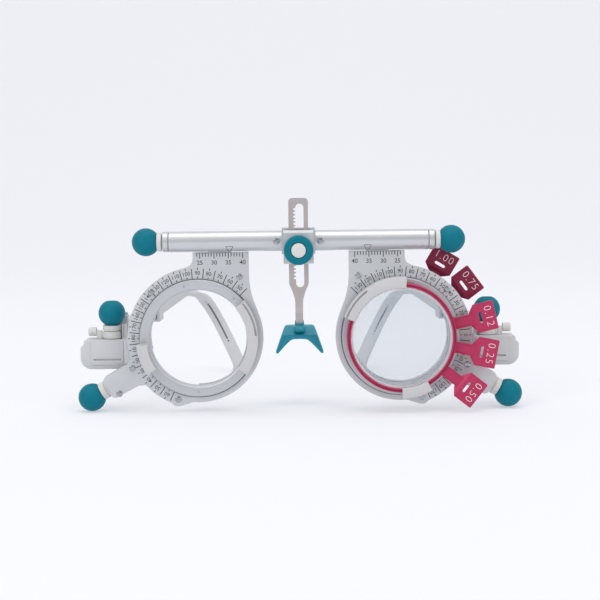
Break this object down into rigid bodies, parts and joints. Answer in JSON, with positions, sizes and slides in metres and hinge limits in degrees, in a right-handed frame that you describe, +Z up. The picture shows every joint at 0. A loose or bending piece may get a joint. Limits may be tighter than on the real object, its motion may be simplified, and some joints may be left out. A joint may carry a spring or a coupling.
{
  "type": "trial frame with trial lenses",
  "caption": "Adjustable optician's trial frame on a bridge tube, with turning lens cells, knobs, nose rest, hinged temples and tabbed trial lenses.",
  "frame": {"origin": "bottom centre of the bounding box, on the surface the frame stands on", "axes": "+X along the bridge tube towards the side that carries the lenses, +Y back towards the wearer, +Z up"},
  "size_m": [0.1576, 0.1258, 0.0752],
  "materials": {
    "satin_tube": "satin anodised",
    "bright_steel": "turned",
    "cell_metal": "fine satin anodised",
    "dial_plate": "satin light grey with black graduations",
    "rack_steel": "rolled, satin",
    "pad_silicone": "smooth silicone",
    "teal_knob": "soft-touch matt",
    "white_plastic": "satin moulded",
    "pale_plastic": "fine moulded",
    "lens_ring_metal": "magenta anodised",
    "lens_glass": "clear polished"
  },
  "bodies": {
    "root": {"bridge_tube": "satin_tube", "screw_centre_bearing": "bright_steel", "tube_end_cap_left": "satin_tube", "tube_end_cap_right": "satin_tube", "tube_stop_screw_left": "bright_steel", "tube_stop_screw_right": "bright_steel"},
    "nose_bridge": {"nose_saddle": "cell_metal", "nose_block": "dial_plate"},
    "nose_rest": {"nose_rack": "rack_steel", "nose_pad": "pad_silicone"},
    "nose_knob": {"nose_pinion": "bright_steel", "nose_knob_ring": "teal_knob", "nose_knob_cap": "white_plastic"},
    "pd_knob_left": {"pd_screw_left": "white_plastic", "pd_ball_left": "teal_knob"},
    "rim_left": {"rim_dial_plate_left": "dial_plate", "rim_back_plate_left": "pale_plastic", "carriage_nut_left": "bright_steel", "temple_lug_left": "pale_plastic"},
    "cell_left": {"lens_cell_left": "cell_metal", "front_clip_long_left": "white_plastic", "front_clip_short_left": "white_plastic"},
    "axis_knob_left": {"axis_pinion_shaft_left": "white_plastic", "axis_ball_left": "teal_knob"},
    "temple_block_left": {"temple_housing_left": "pale_plastic", "temple_lock_knob_left": "white_plastic", "hinge_pin_left": "bright_steel"},
    "tilt_knob_left": {"tilt_screw_left": "white_plastic", "tilt_ball_left": "teal_knob"},
    "temple_swing_left": {"temple_carrier_left": "pale_plastic"},
    "temple_arm_left": {"temple_arm_left": "pale_plastic"},
    "pd_knob_right": {"pd_screw_right": "white_plastic", "pd_ball_right": "teal_knob"},
    "rim_right": {"rim_dial_plate_right": "dial_plate", "rim_back_plate_right": "pale_plastic", "carriage_nut_right": "bright_steel", "temple_lug_right": "pale_plastic"},
    "cell_right": {"lens_cell_right": "cell_metal", "front_clip_long_right": "white_plastic", "front_clip_short_right": "white_plastic"},
    "axis_knob_right": {"axis_pinion_shaft_right": "white_plastic", "axis_ball_right": "teal_knob"},
    "temple_block_right": {"temple_housing_right": "pale_plastic", "temple_lock_knob_right": "white_plastic", "hinge_pin_right": "bright_steel"},
    "tilt_knob_right": {"tilt_screw_right": "white_plastic", "tilt_ball_right": "teal_knob"},
    "temple_swing_right": {"temple_carrier_right": "pale_plastic"},
    "temple_arm_right": {"temple_arm_right": "pale_plastic"},
    "lens_012": {"lens_ring_012": "lens_ring_metal", "lens_glass_012": "lens_glass"},
    "lens_025": {"lens_ring_025": "lens_ring_metal", "lens_glass_025": "lens_glass"},
    "lens_050": {"lens_ring_050": "lens_ring_metal", "lens_glass_050": "lens_glass"},
    "lens_075": {"lens_ring_075": "lens_ring_metal", "lens_glass_075": "lens_glass"},
    "lens_100": {"lens_ring_100": "lens_ring_metal", "lens_glass_100": "lens_glass"}
  },
  "joints": [
    {"name": "nose_tilt", "type": "hinge", "parent": "root", "child": "nose_bridge", "pos_m": [0, -0.04886, 0.0602], "axis": [1, 0, 0], "range_deg": [-5, 12]},
    {"name": "nose_height", "type": "slide", "parent": "nose_bridge", "child": "nose_rest", "axis": [0, 0, 1], "range_m": [-0.009, 0.01]},
    {"name": "nose_knob_turn", "type": "hinge", "parent": "nose_bridge", "child": "nose_knob", "pos_m": [0, -0.05986, 0.05745], "axis": [0, 1, 0], "range_deg": [-432, 480]},
    {"name": "pd_left", "type": "slide", "parent": "root", "child": "rim_left", "axis": [1, 0, 0], "range_m": [-0.0045, 0.0105]},
    {"name": "pd_knob_turn_left", "type": "hinge", "parent": "root", "child": "pd_knob_left", "pos_m": [-0.054, -0.04886, 0.0602], "axis": [1, 0, 0], "range_deg": [-950, 410]},
    {"name": "axis_left", "type": "hinge", "parent": "rim_left", "child": "cell_left", "pos_m": [-0.0355, -0.04886, 0.0264], "axis": [0, 1, 0], "continuous": true},
    {"name": "axis_knob_turn_left", "type": "hinge", "parent": "rim_left", "child": "axis_knob_left", "pos_m": [-0.0355, -0.04476, 0.0264], "axis": [-0.8746, 0, -0.4848], "continuous": true},
    {"name": "temple_tilt_left", "type": "hinge", "parent": "rim_left", "child": "temple_block_left", "pos_m": [-0.065, -0.03836, 0.0197], "axis": [1, 0, 0], "range_deg": [-8, 8]},
    {"name": "tilt_knob_turn_left", "type": "hinge", "parent": "temple_block_left", "child": "tilt_knob_left", "pos_m": [-0.0674, -0.03566, 0.0302], "axis": [0, 0, 1], "range_deg": [-252, 252]},
    {"name": "temple_fold_left", "type": "hinge", "parent": "temple_block_left", "child": "temple_swing_left", "pos_m": [-0.0645, -0.02626, 0.0278], "axis": [0, 0, 1], "range_deg": [-55, 12]},
    {"name": "temple_length_left", "type": "slide", "parent": "temple_swing_left", "child": "temple_arm_left", "axis": [0.1814, 0.9789, 0.0941], "range_m": [-0.006, 0.018]},
    {"name": "pd_right", "type": "slide", "parent": "root", "child": "rim_right", "axis": [1, 0, 0], "range_m": [-0.0105, 0.0045]},
    {"name": "pd_knob_turn_right", "type": "hinge", "parent": "root", "child": "pd_knob_right", "pos_m": [0.054, -0.04886, 0.0602], "axis": [1, 0, 0], "range_deg": [-410, 950]},
    {"name": "axis_right", "type": "hinge", "parent": "rim_right", "child": "cell_right", "pos_m": [0.0355, -0.04886, 0.0264], "axis": [0, 1, 0], "range_deg": [-60, 60]},
    {"name": "axis_knob_turn_right", "type": "hinge", "parent": "rim_right", "child": "axis_knob_right", "pos_m": [0.0355, -0.04476, 0.0264], "axis": [0.8746, 0, -0.4848], "range_deg": [-605, 605]},
    {"name": "temple_tilt_right", "type": "hinge", "parent": "rim_right", "child": "temple_block_right", "pos_m": [0.065, -0.03836, 0.0197], "axis": [1, 0, 0], "range_deg": [-8, 8]},
    {"name": "tilt_knob_turn_right", "type": "hinge", "parent": "temple_block_right", "child": "tilt_knob_right", "pos_m": [0.0674, -0.03566, 0.0302], "axis": [0, 0, 1], "range_deg": [-252, 252]},
    {"name": "temple_fold_right", "type": "hinge", "parent": "temple_block_right", "child": "temple_swing_right", "pos_m": [0.0645, -0.02626, 0.0278], "axis": [0, 0, 1], "range_deg": [-12, 55]},
    {"name": "temple_length_right", "type": "slide", "parent": "temple_swing_right", "child": "temple_arm_right", "axis": [-0.1814, 0.9789, 0.0941], "range_m": [-0.006, 0.018]},
    {"name": "lens_012_pull", "type": "slide", "parent": "cell_right", "child": "lens_012", "axis": [0.9763, 0, 0.2164], "range_m": [0, 0.045]},
    {"name": "lens_025_pull", "type": "slide", "parent": "cell_right", "child": "lens_025", "axis": [0.9763, 0, 0.2164], "range_m": [0, 0.045]},
    {"name": "lens_050_pull", "type": "slide", "parent": "cell_right", "child": "lens_050", "axis": [0.9763, 0, 0.2164], "range_m": [0, 0.045]},
    {"name": "lens_075_pull", "type": "slide", "parent": "rim_right", "child": "lens_075", "axis": [0.2588, 0, 0.9659], "range_m": [0, 0.045]},
    {"name": "lens_100_pull", "type": "slide", "parent": "rim_right", "child": "lens_100", "axis": [0.2588, 0, 0.9659], "range_m": [0, 0.045]}
  ],
  "couplings": [
    {"joint": "nose_knob_turn", "follows": "nose_height", "rad_per_m": 833.33},
    {"joint": "pd_knob_turn_left", "follows": "pd_left", "rad_per_m": -1570.8},
    {"joint": "axis_knob_turn_left", "follows": "axis_left", "ratio": 10},
    {"joint": "tilt_knob_turn_left", "follows": "temple_tilt_left", "ratio": 31.4},
    {"joint": "pd_knob_turn_right", "follows": "pd_right", "rad_per_m": -1570.8},
    {"joint": "axis_knob_turn_right", "follows": "axis_right", "ratio": 10},
    {"joint": "tilt_knob_turn_right", "follows": "temple_tilt_right", "ratio": 31.4}
  ]
}
